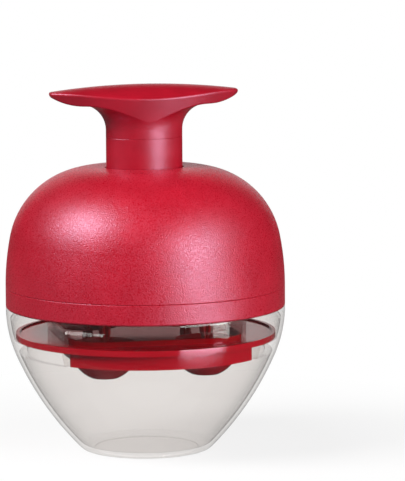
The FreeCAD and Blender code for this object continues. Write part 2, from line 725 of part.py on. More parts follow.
def make_dome():
    body = new_body("dome_shell")
    inner_side = dim.dome_side_arc - dim.dome_wall
    inner_crown = dim.dome_crown_arc - dim.dome_wall
    crown_turn_radius = dome_crown_centre + inner_crown * cosine(dim.dome_side_turn)
    crown_turn_height = dome_crown_height + inner_crown * sine(dim.dome_side_turn)
    profile = upright_sketch_on(body, "profile")
    corners = [
        (dim.body_radius - dim.dome_wall, seam),
        (dim.body_radius, seam, dim.dome_side_arc, 1),
        (dome_shoulder_radius, dome_shoulder_height, dim.dome_crown_arc, 1),
        (dome_crown_centre, dome_top),
        (0, dome_top),
        (0, dome_ceiling),
        (dome_crown_centre, dome_ceiling, inner_crown, -1),
        (crown_turn_radius, crown_turn_height, inner_side, -1),
    ]
    outline(profile, corners)
    revolve(body, profile)

    guide = sketch_on(body, "stem_guide", dome_ceiling - dim.guide_height)
    oval(guide, dim.stem_gap + dim.guide_wall)
    pad(body, guide, dim.guide_height)
    opening = sketch_on(body, "opening", dome_top)
    oval(opening, dim.stem_gap)
    pocket(body, opening, dim.dome_wall + dim.guide_height)

    boss = sketch_on(body, "boss", seam)
    circle(boss, boss_circle_radius, 0, dim.boss_radius)
    pilot = sketch_on(body, "pilot", seam + dim.boss_height)
    circle(pilot, boss_circle_radius, 0, dim.screw_radius + dim.screw_gap)
    web = sketch_on(body, "web", seam + dim.boss_web_start)
    polygon_box(web, boss_circle_radius, collar_outer, dim.boss_web / 2)
    features = [pad(body, boss, dim.boss_height)]
    features.append(pad(body, web, dim.boss_height - dim.boss_web_start))
    features.append(pocket(body, pilot, dim.boss_height))
    repeat(body, features, DOME_SCREW_COUNT)

    round_ring(body, "seam_round", dim.seam_round, dim.body_radius, seam)
    return body


def make_stem():
    body = new_body("plunger_stem")
    section = sketch_on(body, "section", clamp_top)
    oval(section, 0)
    circle(section, 0, 0, stem_bore_radius)
    circle(section, handle_screw_offset, 0, dim.screw_radius + dim.screw_clearance)
    circle(section, -handle_screw_offset, 0, dim.screw_radius + dim.screw_clearance)
    pad(body, section, stem_top - clamp_top)

    rim = []
    for face in body.Tip.Shape.Faces:
        if face.BoundBox.ZMin > number(stem_top) - TOUCH:
            rim += face.OuterWire.Edges

    def on_rim(edge):
        return any(edge.isSame(other) for other in rim)

    round_edges(body, "seam_round", dim.seam_round, on_rim)
    return body


def arm_plate(body, bottom, thickness):
    """A disc with four diagonal arms, which end in round pads over the needles."""
    disc = sketch_on(body, "disc", bottom)
    circle(disc, 0, 0, dim.carrier_disc_radius)
    pad(body, disc, thickness)
    arm = sketch_on(body, "arm", bottom, 45)
    corners = [
        (dim.carrier_disc_radius / 2, -dim.carrier_arm_half),
        (dim.cup_circle_radius, -dim.carrier_arm_half, dim.carrier_arm_half, 1),
        (dim.cup_circle_radius + dim.carrier_arm_half, 0, dim.carrier_arm_half, 1),
        (dim.cup_circle_radius, dim.carrier_arm_half),
        (dim.carrier_disc_radius / 2, dim.carrier_arm_half),
    ]
    outline(arm, corners)
    repeat(body, [pad(body, arm, thickness)], NEEDLE_COUNT)


def make_carrier():
    body = new_body("needle_carrier")
    arm_plate(body, carrier_bottom, dim.carrier_thickness)
    hub = sketch_on(body, "hub", carrier_bottom)
    circle(hub, 0, 0, hub_radius)
    pad(body, hub, dim.hub_height)
    hollow = sketch_on(body, "hub_pocket", spring_ceiling)
    circle(hollow, 0, 0, hub_pocket_radius)
    pocket(body, hollow, spring_ceiling - carrier_bottom)

    hole = sketch_on(body, "needle_hole", carrier_top, 45)
    circle(hole, dim.cup_circle_radius, 0, dim.needle_radius + dim.screw_gap)
    seat = sketch_on(body, "needle_seat", carrier_top, 45)
    circle(seat, dim.cup_circle_radius, 0, dim.needle_head_radius + dim.screw_gap)
    features = [pocket(body, hole, dim.carrier_thickness)]
    features.append(pocket(body, seat, dim.needle_head_height))
    repeat(body, features, NEEDLE_COUNT)

    pilot = sketch_on(body, "clamp_pilot", carrier_top, 45)
    circle(pilot, clamp_screw_radius, 0, dim.small_screw_radius + dim.screw_gap)
    repeat(body, [pocket(body, pilot, dim.carrier_thickness)], CLAMP_SCREW_COUNT)

    screw = sketch_on(body, "screw_hole", carrier_top)
    circle(screw, handle_screw_offset, 0, dim.screw_radius + dim.screw_clearance)
    sink = sketch_on(body, "screw_sink", carrier_bottom + dim.screw_head_height)
    circle(sink, handle_screw_offset, 0, dim.screw_head_radius + dim.screw_clearance)
    features = [pocket(body, screw, dim.carrier_thickness)]
    features.append(pocket(body, sink, dim.screw_head_height))
    repeat(body, features, HANDLE_SCREW_COUNT)
    return body


def make_clamp():
    body = new_body("needle_clamp")
    arm_plate(body, carrier_top, dim.clamp_thickness)
    centre = sketch_on(body, "hub_hole", clamp_top)
    circle(centre, 0, 0, stem_bore_radius)
    pocket(body, centre, dim.clamp_thickness)
    hole = sketch_on(body, "clamp_hole", clamp_top, 45)
    circle(hole, clamp_screw_radius, 0, dim.small_screw_radius + dim.screw_clearance)
    repeat(body, [pocket(body, hole, dim.clamp_thickness)], CLAMP_SCREW_COUNT)
    screw = sketch_on(body, "screw_hole", clamp_top)
    circle(screw, handle_screw_offset, 0, dim.screw_radius + dim.screw_clearance)
    repeat(body, [pocket(body, screw, dim.clamp_thickness)], HANDLE_SCREW_COUNT)
    return body


def make_needle(index):
    """A cross-shaped needle with a tapered end and a flat head, under one arm."""
    body = new_body(f"needle_{index + 1}")
    length = carrier_top - needle_tip
    half = dim.needle_blade / 2
    reach = root(dim.needle_radius * dim.needle_radius - half * half)
    section = sketch_on(body, "section")
    corners = []
    for quarter in range(4):
        points = [(reach, -half, dim.needle_radius, 1), (reach, half), (half, half)]
        for x, y, *arc in points:
            for _ in range(quarter):
                x, y = -y, x
            corners.append((x, y, *arc))
    outline(section, corners)
    pad(body, section, length)
    head = sketch_on(body, "head", length - dim.needle_head_height)
    circle(head, 0, 0, dim.needle_head_radius)
    pad(body, head, dim.needle_head_height)
    taper = upright_sketch_on(body, "taper")
    outside = dim.needle_radius * 2
    corners = [
        (dim.needle_point, 0),
        (outside, 0),
        (outside, dim.needle_taper),
        (dim.needle_radius, dim.needle_taper),
    ]
    outline(taper, corners)
    revolve(body, taper, cut=True)
    angle = 45 + 90 * index
    spot = FreeCAD.Rotation(FreeCAD.Vector(0, 0, 1), angle)
    middle = spot.multVec(FreeCAD.Vector(number(dim.cup_circle_radius), 0, 0))
    middle.z = number(needle_tip)
    body.Placement = FreeCAD.Placement(middle, spot)
    across = math.cos(math.radians(angle))
    along = math.sin(math.radians(angle))
    body.setExpression("Placement.Base.x", (dim.cup_circle_radius * across).text)
    body.setExpression("Placement.Base.y", (dim.cup_circle_radius * along).text)
    body.setExpression("Placement.Base.z", needle_tip.text)
    doc.recompute()
    return body


def cylinder(name, radius, height, x, y, z):
    """A standing cylinder whose foot centre lies at x, y, z."""
    solid = doc.addObject("Part::Cylinder", name)
    solid.setExpression("Radius", words(radius))
    solid.setExpression("Height", words(height))
    solid.setExpression("Placement.Base.x", words(x))
    solid.setExpression("Placement.Base.y", words(y))
    solid.setExpression("Placement.Base.z", words(z))
    return solid


def screw(name, sizes, x, y, underside, upward):
    """A screw with a cross recess. Its head's bearing face lies at the underside height."""
    shank_radius, head_radius, head_height, length = sizes
    slot_depth = head_height * CROSS_DEPTH
    if upward:
        head_z, shank_z = underside - head_height, underside
        slot_z = head_z - slot_depth
    else:
        head_z, shank_z = underside, underside - length
        slot_z = head_z + head_height - slot_depth
    head = cylinder(f"{name}_head", head_radius, head_height, x, y, head_z)
    shank = cylinder(f"{name}_shank", shank_radius, length, x, y, shank_z)
    whole = doc.addObject("Part::Fuse", f"{name}_whole")
    whole.Base = head
    whole.Tool = shank
    slot_length = head_radius * CROSS_LENGTH
    slot_width = head_radius * CROSS_WIDTH
    bars = []
    for turn, (size_x, size_y) in enumerate(
        ((slot_length, slot_width), (slot_width, slot_length))
    ):
        bar = doc.addObject("Part::Box", f"{name}_bar{turn}")
        bar.setExpression("Length", words(size_x))
        bar.setExpression("Width", words(size_y))
        bar.setExpression("Height", words(slot_depth * 2))
        bar.setExpression("Placement.Base.x", words(x - size_x / 2))
        bar.setExpression("Placement.Base.y", words(y - size_y / 2))
        bar.setExpression("Placement.Base.z", words(slot_z))
        bars.append(bar)
    cross = doc.addObject("Part::Fuse", f"{name}_cross")
    cross.Base, cross.Tool = bars
    cut = doc.addObject("Part::Cut", f"{name}_cut")
    cut.Base = whole
    cut.Tool = cross
    return cut


def screw_group(label, sizes, spots, underside, upward):
    group = doc.addObject("Part::Compound", label)
    group.Label = label
    pieces = []
    for index, (x, y) in enumerate(spots):
        pieces.append(screw(f"{label}_{index + 1}", sizes, x, y, underside, upward))
    group.Links = pieces
    doc.recompute()
    return group


def oval_wire(half_length, half_depth, tip, height):
    """A level oval: two long arcs joined by two tighter ones at its ends."""
    arc = ((half_length - tip) ** 2 + half_depth**2 - tip**2) / (2 * (half_depth - tip))
    tip_centre = FreeCAD.Vector(half_length - tip, 0, height)
    arc_middle = FreeCAD.Vector(0, half_depth - arc, height)
    outward = (tip_centre - arc_middle).normalize()
    touch = tip_centre + outward * tip
    points = {
        "right": FreeCAD.Vector(half_length, 0, height),
        "back": FreeCAD.Vector(0, half_depth, height),
        "left": FreeCAD.Vector(-half_length, 0, height),
        "front": FreeCAD.Vector(0, -half_depth, height),
    }
    back_right = touch
    back_left = FreeCAD.Vector(-touch.x, touch.y, height)
    front_left = FreeCAD.Vector(-touch.x, -touch.y, height)
    front_right = FreeCAD.Vector(touch.x, -touch.y, height)
    arcs = [
        Part.Arc(front_right, points["right"], back_right),
        Part.Arc(back_right, points["back"], back_left),
        Part.Arc(back_left, points["left"], front_left),
        Part.Arc(front_left, points["front"], front_right),
    ]
    return Part.Wire([arc.toShape() for arc in arcs])


def barrel(crest, bend_across, bend_along, reach):
    """A solid whose top is doubly curved: gently along X, more tightly across Y."""
    drop = bend_along - math.sqrt(bend_along**2 - reach**2)
    axis_height = crest - bend_across
    belly = axis_height - bend_across
    middle = FreeCAD.Vector(0, 0, belly)
    right = FreeCAD.Vector(reach, 0, belly + drop)
    left = FreeCAD.Vector(-reach, 0, belly + drop)
    right_axis = FreeCAD.Vector(reach, 0, axis_height)
    left_axis = FreeCAD.Vector(-reach, 0, axis_height)
    edges = [
        Part.Arc(left, middle, right).toShape(),
        Part.LineSegment(right, right_axis).toShape(),
        Part.LineSegment(right_axis, left_axis).toShape(),
        Part.LineSegment(left_axis, left).toShape(),
    ]
    face = Part.Face(Part.Wire(edges))
    return face.revolve(left_axis, FreeCAD.Vector(1, 0, 0), 360)


def wing_slab(under, flat, rising, nose, reach, half_depth, top):
    """A slab with a flat middle whose ends rise in an arc underneath and end in a nose."""
    turned = math.asin((reach - nose - flat) / (rising - nose))
    nose_x = flat + (rising - nose) * math.sin(turned)
    nose_z = under + rising - (rising - nose) * math.cos(turned)

    def point(x, z):
        return FreeCAD.Vector(x, -half_depth, z)

    def wing(side):
        rise = []
        for bend in (0, turned / 2, turned):
            x = flat + rising * math.sin(bend)
            rise.append(point(side * x, under + rising * (1 - math.cos(bend))))
        front = point(side * (nose_x + nose), nose_z)
        crown = point(side * nose_x, nose_z + nose)
        upright = Part.LineSegment(crown, point(side * nose_x, top))
        return [Part.Arc(*rise), Part.Arc(rise[-1], front, crown), upright]

    middle = Part.LineSegment(point(-flat, under), point(flat, under))
    lid = Part.LineSegment(point(-nose_x, top), point(nose_x, top))
    edges = [curve.toShape() for curve in [middle, *wing(1), *wing(-1), lid]]
    face = Part.Face(Part.Wire(Part.__sortEdges__(edges)))
    return face.extrude(FreeCAD.Vector(0, 2 * half_depth, 0))


def soften(shape, radius, edges):
    """Rounds edges, slightly tighter where the full radius gives no valid solid."""
    for share in (1.0, 0.96, 0.9, 0.8, 0.65, 0.5):
        softened = shape.makeFillet(radius * share, edges)
        if softened.isValid():
            return softened
    raise RuntimeError("the handle's edge can't be rounded")


def make_handle():
    """The press handle: a crowned, pointed-oval top on a neck that flares into it.

    The underside is a slab that rises towards the tips and meets the neck in a cove. The
    top's sides lean in on their way down, so the front and back faces cut the cove off
    and run down to the neck in a point.
    """
    base = number(stem_top)
    edge = base + number(dim.handle_edge_height)
    crest = edge + number(dim.handle_crown)
    length = number(dim.handle_half_length)
    depth = number(dim.handle_half_depth)
    tip = number(dim.handle_tip_radius)
    outlines = []
    for height in (base, crest + SPARE):
        rise = (height - edge) / (edge - base)
        long_half = length + number(dim.handle_apron_length) * rise
        deep_half = depth + number(dim.handle_apron_depth) * rise
        outlines.append(oval_wire(long_half, deep_half, tip * long_half / length, height))
    apron = Part.makeLoft(outlines, True, True)

    across = (depth**2 + number(dim.handle_crown) ** 2) / (2 * number(dim.handle_crown))
    top = barrel(crest, across, number(dim.handle_crown_arc), long_half + SPARE)
    body = apron.common(top)

    under = base + number(dim.handle_under_height)
    neck_width = number(dim.stem_half_width)
    neck_depth = number(dim.stem_half_depth)
    cove = number(dim.handle_cove)
    flat = neck_width + cove + number(dim.handle_wing_flat)
    wing = (number(dim.handle_wing_arc), number(dim.handle_nose), number(dim.handle_reach))
    slab_depth = max(neck_depth + cove, depth) + cove
    slab = wing_slab(under, flat, *wing, slab_depth, crest + tip)
    foot = Part.Face(oval_wire(neck_width, neck_depth, number(dim.stem_side_arc), base))
    neck = foot.extrude(FreeCAD.Vector(0, 0, under - base + tip))
    coved = slab.fuse(neck).removeSplitter()
    joint = []
    for candidate in coved.Edges:
        box = candidate.BoundBox
        level = max(abs(box.ZMin - under), abs(box.ZMax - under)) < TOUCH
        close = max(abs(box.XMin), abs(box.XMax)) < neck_width + NEAR
        narrow = max(abs(box.YMin), abs(box.YMax)) < neck_depth + NEAR
        if level and close and narrow:
            joint.append(candidate)
    coved = coved.makeFillet(cove, joint)
    shape = body.common(coved).fuse(neck).removeSplitter()

    pilot_radius = number(dim.screw_radius) + number(dim.screw_gap)
    pilot_depth = number(dim.handle_screw_grip) + SPARE
    for side in (-1, 1):
        spot = FreeCAD.Vector(side * number(handle_screw_offset), 0, base)
        shape = shape.cut(Part.makeCylinder(pilot_radius, pilot_depth, spot))

    rounded = []
    for candidate in shape.Edges:
        if candidate.BoundBox.ZMin > edge - NEAR:
            rounded.append(candidate)
    shape = soften(shape, number(dim.handle_edge_round), rounded)
    feature = doc.addObject("Part::Feature", "press_handle")
    feature.Label = "press_handle"
    feature.Shape = shape.removeSplitter()
    feature.Placement = FreeCAD.Placement()
    return feature


def biarc(start, start_way, end, end_way):
    """Two arcs from start to end that keep both directions."""
    span = end - start
    ways = start_way + end_way
    spread = 2 * (1 - start_way.dot(end_way))
    along = span.dot(ways)
    reach = (-along + math.sqrt(along**2 + spread * span.dot(span))) / spread
    first_corner = start + start_way * reach
    second_corner = end - end_way * reach
    joint = (first_corner + second_corner) * 0.5
    arcs = []
    for low, corner, high in ((start, first_corner, joint), (joint, second_corner, end)):
        middle = (low + high) * 0.5
        half_chord = (high - low).Length / 2
        depth = (corner - middle).Length
        bend = math.atan2(depth, half_chord)
        bulge = half_chord * math.tan(bend / 2)
        top = middle + (corner - middle).normalize() * bulge
        arcs.append(Part.Arc(low, top, high).toShape())
    return arcs


def make_spring():
    """The return spring: one wire with a closed turn at each end."""
    radius = number(dim.spring_radius)
    wire = number(dim.spring_wire)
    seat = number(dim.spring_seat_gap)
    low = number(spring_floor) + wire / 2 + seat
    high = number(spring_ceiling) - wire / 2 - seat
    closed = wire + number(dim.spring_coil_gap)
    count = SPRING_TURNS * SPRING_STEPS
    middle_rise = (high - low - 2 * closed) / (SPRING_TURNS - 2)

    def height(turn):
        if turn <= 1:
            return low + closed * turn
        if turn >= SPRING_TURNS - 1:
            return high - closed * (SPRING_TURNS - turn)
        return low + closed + middle_rise * (turn - 1)

    def rise(turn):
        if turn < 1 or turn > SPRING_TURNS - 1:
            return closed
        if turn in (1, SPRING_TURNS - 1):
            return (closed + middle_rise) / 2
        return middle_rise

    points, ways = [], []
    for step in range(count + 1):
        turn = step / SPRING_STEPS
        angle = 2 * math.pi * turn
        points.append(
            FreeCAD.Vector(radius * math.cos(angle), radius * math.sin(angle), height(turn))
        )
        way = FreeCAD.Vector(
            -radius * math.sin(angle), radius * math.cos(angle), rise(turn) / (2 * math.pi)
        )
        ways.append(way.normalize())
    arcs = []
    for step in range(count):
        arcs += biarc(points[step], ways[step], points[step + 1], ways[step + 1])
    path = Part.Wire(arcs)
    ring = Part.Wire([Part.Circle(points[0], ways[0], wire / 2).toShape()])
    tube = path.makePipeShell([ring], True, False)
    expected = math.pi * (wire / 2) ** 2 * path.Length
    print(f"spring volume {tube.Volume:.2f}, section times length {expected:.2f}")
    least = min(
        height(step / SPRING_STEPS + 1) - height(step / SPRING_STEPS)
        for step in range(count - SPRING_STEPS + 1)
    )
    print(f"spring's least gap to itself {least - wire:.2f} mm")
    feature = doc.addObject("Part::Feature", "return_spring")
    feature.Label = "return_spring"
    feature.Shape = tube
    feature.Placement = FreeCAD.Placement()
    return feature


parts = [
    make_bowl(),
    make_tray(),
    make_guard(),
    make_stripper(),
    make_band(),
    make_dome(),
    make_stem(),
    make_carrier(),
    make_clamp(),
    make_handle(),
    make_spring(),
]
for needle_index in range(NEEDLE_COUNT):
    parts.append(make_needle(needle_index))

large_screw = (dim.screw_radius, dim.screw_head_radius, dim.screw_head_height)
dome_spots = [
    (boss_circle_radius, 0),
    (0, boss_circle_radius),
    (-boss_circle_radius, 0),
    (0, -boss_circle_radius),
]
dome_screw = large_screw + (dim.dome_screw_length,)
parts.append(screw_group("dome_screws", dome_screw, dome_spots, plate_bottom, True))

handle_spots = [(handle_screw_offset, 0), (-handle_screw_offset, 0)]
handle_seat = carrier_bottom + dim.screw_head_height
handle_screw = large_screw + (stem_top + dim.handle_screw_grip - handle_seat,)
parts.append(screw_group("handle_screws", handle_screw, handle_spots, handle_seat, True))

offset = clamp_screw_radius * math.sqrt(0.5)
clamp_spots = [(offset, offset), (-offset, offset), (-offset, -offset), (offset, -offset)]
clamp_screw = (
    dim.small_screw_radius,
    dim.small_screw_head,
    dim.small_screw_height,
    dim.small_screw_length,
)
parts.append(screw_group("clamp_screws", clamp_screw, clamp_spots, clamp_top, False))

doc.recompute()
for item in doc.Objects:
    if "Invalid" in item.State or "Error" in item.State:
        raise RuntimeError(f"{item.Name} failed: {item.State}")
for item in parts:
    if item.Shape.isNull() or not item.Shape.isValid():
        raise RuntimeError(f"{item.Label} has no valid shape")

os.makedirs("parts", exist_ok=True)
for item in parts:
    item.Shape.exportStep(f"parts/{item.Label}.step")
    box = item.Shape.BoundBox
    solids = len(item.Shape.Solids)
    print(
        f"{item.Label}: {solids} solid, {item.Shape.Volume / 1000:.2f} cm3, "
        f"z {box.ZMin:.1f} to {box.ZMax:.1f}, x {box.XMin:.1f} to {box.XMax:.1f}"
    )
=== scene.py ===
import math

import bmesh
import bpy
from mathutils import Matrix, Vector


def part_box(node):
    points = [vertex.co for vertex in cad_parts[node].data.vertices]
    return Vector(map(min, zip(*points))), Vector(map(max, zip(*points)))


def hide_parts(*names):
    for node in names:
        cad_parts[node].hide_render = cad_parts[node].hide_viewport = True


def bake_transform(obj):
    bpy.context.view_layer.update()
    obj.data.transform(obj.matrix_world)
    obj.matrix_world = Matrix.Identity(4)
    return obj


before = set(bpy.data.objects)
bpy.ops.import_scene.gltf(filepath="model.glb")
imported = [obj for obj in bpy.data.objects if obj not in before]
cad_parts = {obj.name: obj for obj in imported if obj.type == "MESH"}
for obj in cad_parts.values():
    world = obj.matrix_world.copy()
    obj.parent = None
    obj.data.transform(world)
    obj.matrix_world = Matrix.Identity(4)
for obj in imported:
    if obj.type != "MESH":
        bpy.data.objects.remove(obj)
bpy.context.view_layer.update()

# Lengths are in metres, scales of noise in grains per metre, lamp powers in watts

# The camera stands a little above the object and looks down on it from the left of the front.
# Its lens is given in pixels of the image, whose longer side is its height.
CAMERA_DISTANCE = 1.464
CAMERA_HEIGHT = 0.2854
CAMERA_AZIMUTH = math.radians(-10.49)
CAMERA_PITCH = math.radians(7.607)
CAMERA_YAW = math.radians(0.957)
CAMERA_ROLL = math.radians(-0.475)
CAMERA_NEAR = 0.01
CAMERA_FAR = 20.0
FOCAL_PIXELS = 3442.0
IMAGE_HEIGHT = 481
SENSOR = 36.0

# The floor lies just under the foot. Its light is partly its own, so that it reads white and
# keeps a shadow near the object, and wholly its own further away.
FLOOR_SIZE = 8.0
FLOOR_DROP = 0.0002
FLOOR_GLOW = 0.8
SHADOW_NEAR = 0.08
SHADOW_FAR = 0.2

# The backdrop is white to the camera, and this bright in mirror images
BACKDROP_DISTANCE = 2.6
BACKDROP_WIDTH = 2.0
BACKDROP_HEIGHT = 1.1
BACKDROP_LIGHT = 0.9

# Softboxes: name, azimuth and elevation in degrees, width, height, power
LAMPS = (
    ("key_right", 43, 13, 0.65, 0.95, 19.5),
    ("key_left", -66, 41, 0.7, 0.6, 20.5),
    ("side_right", 66, 32, 0.6, 0.8, 3.0),
)
LAMP_DISTANCE = 1.3
LAMP_AIM_HEIGHT = 0.08
# how bright the room is to the object
ROOM_LIGHT = 0.04

# The low card that the tray's skirt mirrors
CARD_AZIMUTH = 49.0
CARD_DISTANCE = 0.34
CARD_WIDTH = 0.26
CARD_HEIGHT = 0.02
CARD_POWER = 0.3

# The return spring. A closed turn rises by the wire and a small gap.
SPRING_WIRE = 0.0012
SPRING_COIL_GAP = 0.00045
SPRING_CLOSED_RISE = SPRING_WIRE + SPRING_COIL_GAP
SPRING_TURNS = 10
SPRING_STEPS = 32
SPRING_SIDES = 10

WHITE = (1.0, 1.0, 1.0, 1.0)
ROOM_WHITE = (0.9, 0.9, 0.92, 1.0)
FLOOR_WHITE = (0.85, 0.85, 0.85, 1.0)
# what the object sees of the floor
FLOOR_DIM = (0.16, 0.16, 0.16, 1.0)
# the dome's red and the handle's deeper red: painted shade in the grain's pits, painted sparkle
# on top
MATTE_DARK_AND_PIT_SHADE = (0.375, 0.002, 0.012, 1.0)
MATTE_LIGHT_AND_SPARKLE = (0.49, 0.007, 0.023, 1.0)
FINE_DARK_AND_PIT_SHADE = (0.31, 0.0008, 0.009, 1.0)
FINE_LIGHT_AND_SPARKLE = (0.4, 0.002, 0.014, 1.0)
# the tray's glossy red, at the two ends of its mottle
GLOSSY_DARK = (0.4, 0.001, 0.008, 1.0)
GLOSSY_LIGHT = (0.46, 0.002, 0.012, 1.0)
BOWL_TINT = (0.95, 0.938, 0.93, 1.0)
GUARD_TINT = (0.9, 0.78, 0.78, 1.0)
STEEL = (0.62, 0.61, 0.6, 1.0)
# the red plastic's sheen is a little pink
SHEEN_TINT = (1.0, 0.72, 1.0, 1.0)
SHEEN = 0.92

# Noise mostly stays between the first two values. The grain takes a closer range, so that it
# is sharper.
NOISE_RANGE = (0.3, 0.7)
GRAIN_RANGE = (0.35, 0.65)
WHOLE_RANGE = (0.0, 1.0)

# The matte red: a finer grain lies on the main one, with its own share of the depth
FINER_GRAIN = 2.3
FINER_DEPTH = 0.5
GRAIN_BUMP = 0.8
FINER_BUMP = 0.5
MATTE_MOTTLE = 90.0

# The glossy red's mottle, waves and smears
GLOSSY_MOTTLE = 60.0
GLOSSY_WAVES = 35.0
GLOSSY_WAVE_BUMP = 0.1
GLOSSY_WAVE_DEPTH = 0.0003
GLOSSY_SMEARS = 400.0
GLOSSY_ROUGHNESS = (0.06, 0.12)

# The clear plastics: how much of the surface mirrors, seen square on and edge on, how fast
# that grows, and how many times hazier the smears are than the rest
CLEAR_GLOSS = (0.015, 0.5)
CLEAR_GLOSS_POWER = 5.0
CLEAR_IOR = 1.49
CLEAR_SMEARS = 45.0
CLEAR_SMEAR_HAZE = 3.0
CLEAR_WAVES = 28.0
CLEAR_WAVE_BUMP = 0.06
CLEAR_WAVE_DEPTH = 0.0004

# The steel's drawing marks
STEEL_MARKS = 900.0
STEEL_MARK_BUMP = 0.15
STEEL_MARK_DEPTH = 0.00005


def camera_side():
    """The level directions to the camera's right and away from it, before its yaw and roll."""
    right = Vector((math.cos(CAMERA_AZIMUTH), math.sin(CAMERA_AZIMUTH), 0))
    away = Vector((-math.sin(CAMERA_AZIMUTH), math.cos(CAMERA_AZIMUTH), 0))
    return right, away


def add_object(name, data):
    """A new object in the scene."""
    thing = bpy.data.objects.new(name, data)
    bpy.context.scene.collection.objects.link(thing)
    return thing


def make_camera():
    """The camera of the photograph: a long lens, turned and rolled by a degree at most."""
    right, away = camera_side()
    level = Vector((0, 0, 1))
    forward = away * math.cos(CAMERA_PITCH) - level * math.sin(CAMERA_PITCH)
    up = away * math.sin(CAMERA_PITCH) + level * math.cos(CAMERA_PITCH)
    turned_forward = forward * math.cos(CAMERA_YAW) + right * math.sin(CAMERA_YAW)
    turned_right = right * math.cos(CAMERA_YAW) - forward * math.sin(CAMERA_YAW)
    rolled_right = turned_right * math.cos(CAMERA_ROLL) + up * math.sin(CAMERA_ROLL)
    rolled_up = up * math.cos(CAMERA_ROLL) - turned_right * math.sin(CAMERA_ROLL)
    data = bpy.data.cameras.new("camera")
    data.sensor_width = SENSOR
    data.lens = FOCAL_PIXELS / IMAGE_HEIGHT * SENSOR
    data.clip_start = CAMERA_NEAR
    data.clip_end = CAMERA_FAR
    camera = add_object("camera", data)
    turn = Matrix((rolled_right, rolled_up, -turned_forward)).transposed().to_4x4()
    spot = -away * CAMERA_DISTANCE + level * CAMERA_HEIGHT
    camera.matrix_world = Matrix.Translation(spot) @ turn
    bpy.context.scene.camera = camera


class Nodes:
    """A short way to add and join the shader nodes of one material or world."""

    def __init__(self, owner, output):
        owner.use_nodes = True
        self.owner = owner
        self.tree = owner.node_tree
        self.tree.nodes.clear()
        self.output = self.add(output)

    def add(self, kind, **values):
        """A new node, with some of its settings."""
        node = self.tree.nodes.new(f"ShaderNode{kind}")
        for key, value in values.items():
            setattr(node, key, value)
        return node

    def join(self, source, target):
        self.tree.links.new(source, target)

    def fill(self, node, **values):
        """Sets a node's sockets by name, with _ in place of a space."""
        for key, value in values.items():
            node.inputs[key.replace("_", " ")].default_value = value
        return node

    def show(self, shader):
        self.join(shader.outputs[0], self.output.inputs["Surface"])

    def coordinates(self):
        return self.add("TexCoord").outputs["Object"]

    def noise(self, scale, detail):
        node = self.fill(self.add("TexNoise"), Scale=scale, Detail=detail)
        self.join(self.coordinates(), node.inputs["Vector"])
        return node.outputs["Fac"]

    def spread(self, source, target_range, source_range=NOISE_RANGE):
        """Carries a value over from one range to another."""
        node = self.add("MapRange")
        self.join(source, node.inputs["Value"])
        self.fill(node, From_Min=source_range[0], From_Max=source_range[1])
        self.fill(node, To_Min=target_range[0], To_Max=target_range[1])
        return node.outputs["Result"]

    def blend(self, share, first, second):
        """A colour between two, at a share. A Mix node's colours are sockets 6, 7 and 2."""
        node = self.add("Mix", data_type="RGBA")
        self.join(share, node.inputs[0])
        node.inputs[6].default_value = first
        node.inputs[7].default_value = second
        return node.outputs[2]

    def calculate(self, operation, first, second):
        """A Math node on a socket and on a second socket or number."""
        node = self.add("Math", operation=operation)
        self.join(first, node.inputs[0])
        if isinstance(second, float):
            node.inputs[1].default_value = second
        else:
            self.join(second, node.inputs[1])
        return node.outputs[0]

    def bump(self, height, strength, distance, below=None):
        node = self.add("Bump")
        self.join(height, node.inputs["Height"])
        self.fill(node, Strength=strength, Distance=distance)
        if below is not None:
            self.join(below, node.inputs["Normal"])
        return node.outputs["Normal"]

    def mix(self, share, first, second):
        """Two shaders, the second with a share that is a socket or a number."""
        node = self.add("MixShader")
        if isinstance(share, float):
            node.inputs["Fac"].default_value = share
        else:
            self.join(share, node.inputs["Fac"])
        self.join(first.outputs[0], node.inputs[1])
        self.join(second.outputs[0], node.inputs[2])
        return node

    def seen(self):
        """1 where the camera looks, also through the clear pieces, and 0 for other rays."""
        rays = self.add("LightPath").outputs
        return self.calculate("MAXIMUM", rays["Is Camera Ray"], rays["Is Transmission Ray"])


def new_material(name):
    return Nodes(bpy.data.materials.new(name), "OutputMaterial")


def pebbled_red(name, dark_and_pit_shade, top, grain, depth, painted_grain_share, roughness):
    """Matte red moulding with a spark-eroded grain, with painted shade in its pits and painted
    sparkle on top.
    """
    nodes = new_material(name)
    shader = nodes.add("BsdfPrincipled")
    nodes.fill(shader, Specular_Tint=SHEEN_TINT, Specular_IOR_Level=SHEEN)
    coarse = nodes.noise(grain, detail=1.0)
    fine = nodes.noise(grain * FINER_GRAIN, detail=2.0)
    broad = nodes.noise(MATTE_MOTTLE, detail=3.0)
    mottle = nodes.spread(broad, (0.0, 1.0 - painted_grain_share))
    # The grain paints shade into the colour of its pits and a sparkle onto its tops. The
    # lighter colour, top, carries that painted sparkle, and the broad mottle is the plastic's
    # own uneven tone.
    grain_shade_and_sparkle = nodes.spread(coarse, (0.0, painted_grain_share), GRAIN_RANGE)
    level = nodes.calculate("ADD", mottle, grain_shade_and_sparkle)
    nodes.join(nodes.blend(level, dark_and_pit_shade, top), shader.inputs["Base Color"])
    first = nodes.bump(coarse, GRAIN_BUMP, depth)
    second = nodes.bump(fine, FINER_BUMP, depth * FINER_DEPTH, first)
    nodes.join(second, shader.inputs["Normal"])
    rough = nodes.spread(coarse, roughness, GRAIN_RANGE)
    nodes.join(rough, shader.inputs["Roughness"])
    nodes.show(shader)
    return nodes.owner


